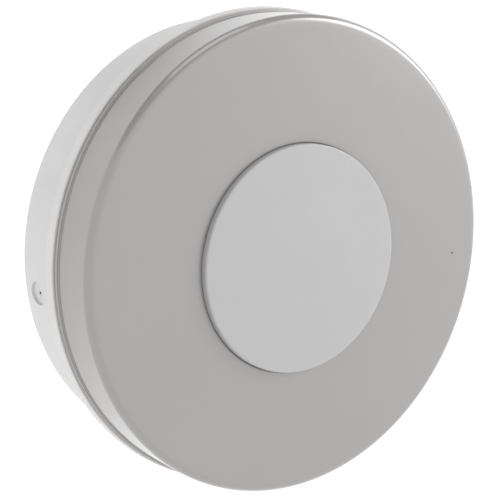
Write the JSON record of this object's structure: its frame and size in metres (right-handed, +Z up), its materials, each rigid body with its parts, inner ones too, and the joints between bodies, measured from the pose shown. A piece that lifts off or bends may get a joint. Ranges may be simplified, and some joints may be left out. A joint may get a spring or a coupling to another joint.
{
  "type": "heat detector",
  "caption": "Round battery heat detector with a domed diffuser cover, a press-to-test central button and a twist-off head on a slotted mounting plate.",
  "frame": {"origin": "centre of the mounting plate's back face, on the head's axis, where the detector meets the wall or ceiling", "axes": "+Y into the wall or ceiling along the head's axis, so the button faces -Y; +Z up as the detector stands in the picture; +X to the right seen from the front"},
  "size_m": [0.12, 0.0393, 0.12],
  "materials": {
    "plate_plastic": "satin",
    "housing_plastic": "satin",
    "chassis_plastic": "satin",
    "diffuser_plastic": "gloss",
    "seal_rubber": "matte",
    "reflector_plastic": "matte",
    "circuit_board": "satin",
    "led_package": "gloss",
    "shield_can": "satin",
    "antenna_metal": "satin",
    "chip_plastic": "matte",
    "capacitor_can": "satin",
    "ferrite": "matte",
    "switch_plastic": "matte",
    "plunger_plastic": "matte",
    "button_plastic": "satin",
    "spring_steel": "bright",
    "sensor_metal": "satin",
    "boot_rubber": "matte",
    "cell_wrap": "gloss",
    "tray_plastic": "matte",
    "contact_metal": "satin",
    "pad_foam": "matte",
    "lead_insulation": "satin",
    "horn_plastic": "matte",
    "gasket_foam": "matte",
    "brass_disc": "satin",
    "piezo_silver": "satin",
    "holder_plastic": "matte",
    "tinned_wire": "bright",
    "bead_epoxy": "gloss",
    "screw_steel": "satin",
    "lock_steel": "satin"
  },
  "bodies": {
    "plate": {"mounting_plate": "plate_plastic"},
    "head": {"rear_housing": "housing_plastic", "mid_chassis": "chassis_plastic", "front_diffuser": "diffuser_plastic", "diffuser_seal": "seal_rubber", "light_reflector": "reflector_plastic", "main_pcb": "circuit_board", "status_leds": "led_package", "radio_module": "shield_can", "antenna": "antenna_metal", "controller_chips": "chip_plastic", "capacitors": "capacitor_can", "boost_inductor": "ferrite", "tact_switch": "switch_plastic", "button_spring": "spring_steel", "test_microphone": "sensor_metal", "microphone_boot": "boot_rubber", "battery_left": "cell_wrap", "battery_right": "cell_wrap", "battery_tray": "tray_plastic", "battery_springs": "spring_steel", "battery_contacts": "contact_metal", "battery_pads": "pad_foam", "battery_leads": "lead_insulation", "sounder_horn": "horn_plastic", "sounder_gasket": "gasket_foam", "piezo_brass": "brass_disc", "piezo_ceramic": "piezo_silver", "piezo_leads": "lead_insulation", "thermistor_holders": "holder_plastic", "thermistor_leads": "tinned_wire", "thermistor_beads": "bead_epoxy", "housing_screws": "screw_steel", "pcb_screws": "screw_steel", "lock_screw": "lock_steel"},
    "button": {"button_cap": "button_plastic"},
    "plunger": {"switch_plunger": "plunger_plastic"}
  },
  "joints": [
    {"name": "head_twist", "type": "hinge", "parent": "plate", "child": "head", "pos_m": [0, 0, 0], "axis": [0, -1, 0], "range_deg": [0, 18]},
    {"name": "button_press", "type": "slide", "parent": "head", "child": "button", "axis": [0, 1, 0], "range_m": [0, 0.0006], "stiffness_N_per_m": 2000, "springref_m": -0.0005, "deforming": ["button_spring"]},
    {"name": "switch_press", "type": "slide", "parent": "head", "child": "plunger", "axis": [0, 1, 0], "range_m": [0, 0.0006]}
  ],
  "couplings": [
    {"joint": "switch_press", "follows": "button_press", "ratio": 1}
  ]
}
